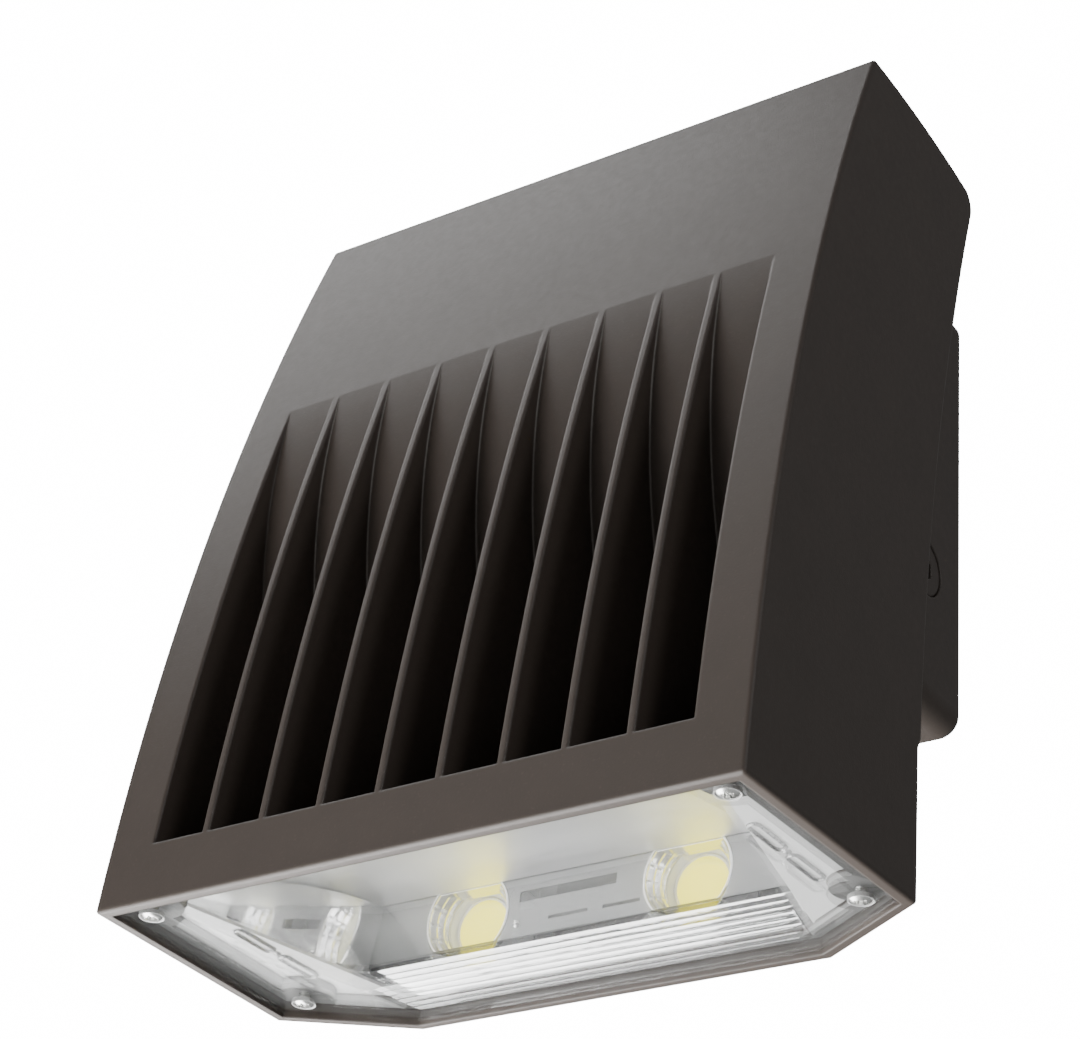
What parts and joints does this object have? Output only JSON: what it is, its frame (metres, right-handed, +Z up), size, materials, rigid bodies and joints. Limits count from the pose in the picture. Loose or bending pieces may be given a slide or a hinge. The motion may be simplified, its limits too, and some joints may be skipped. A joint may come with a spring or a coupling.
{
  "type": "wall pack light",
  "caption": "Outdoor LED wall pack light: a finned die-cast door hinged to a square wiring box, aimed down through a flat glass lens.",
  "frame": {"origin": "on the wall plane, at the middle of the back box, where its wall screws centre", "axes": "+Y into the wall, +Z up the wall, +X to the right seen from the front"},
  "size_m": [0.2322, 0.1834, 0.2919],
  "materials": {
    "bronze": "fine textured dark bronze powder coat on die-cast aluminium",
    "lens": "clear toughened glass",
    "grey_silicone": "matt grey silicone",
    "black_rubber": "matt black rubber",
    "black_foam": "closed-cell black foam",
    "steel": "passivated stainless steel",
    "galvanised": "galvanised sheet with a faint spangle",
    "reflector": "bright specular aluminium coat",
    "reflector_panel": "bright specular aluminium coat, satin where it is flat",
    "led_ceramic": "white ceramic with a white dam ring",
    "phosphor": "yellow silicone with phosphor",
    "thermal_pad": "grey filled silicone",
    "holder_plastic": "white moulded plastic",
    "driver_case": "white painted aluminium case, potted",
    "surge_case": "black moulded plastic",
    "terminal_plastic": "ivory moulded plastic",
    "lead_sheath": "white sheath",
    "vent_plastic": "black moulded plastic",
    "ground_green": "green passivated steel"
  },
  "bodies": {
    "wall_box": {"back_box": "bronze", "hinge_pins": "steel", "conduit_plugs": "bronze", "ground_screw": "ground_green", "wall_gasket": "black_foam"},
    "door": {"housing": "bronze", "closure_nuts": "steel", "lens": "lens", "lens_gasket": "grey_silicone", "lens_screws": "steel", "main_reflector": "reflector", "fluted_reflector": "reflector", "end_reflector_left": "reflector_panel", "end_reflector_right": "reflector_panel", "cob_boards": "led_ceramic", "cob_phosphor": "phosphor", "thermal_pads": "thermal_pad", "cob_holders": "holder_plastic", "holder_screws": "steel", "driver_tray": "galvanised", "tray_screws": "steel", "driver": "driver_case", "surge_protector": "surge_case", "module_screws": "steel", "terminal_block": "terminal_plastic", "supply_leads": "lead_sheath", "led_leads": "lead_sheath", "wire_grommet": "black_rubber", "breather_vent": "vent_plastic", "door_gasket": "black_rubber"},
    "closure_left": {"closure_screw_left": "steel"},
    "closure_right": {"closure_screw_right": "steel"}
  },
  "joints": [
    {"name": "door_hinge", "type": "hinge", "parent": "wall_box", "child": "door", "pos_m": [0, -0.0455, 0.0895], "axis": [-1, 0, 0], "range_deg": [0, 95]},
    {"name": "closure_left_slide", "type": "slide", "parent": "door", "child": "closure_left", "axis": [0, 0, 1], "range_m": [-0.004, 0]},
    {"name": "closure_right_slide", "type": "slide", "parent": "door", "child": "closure_right", "axis": [0, 0, 1], "range_m": [-0.004, 0]}
  ]
}
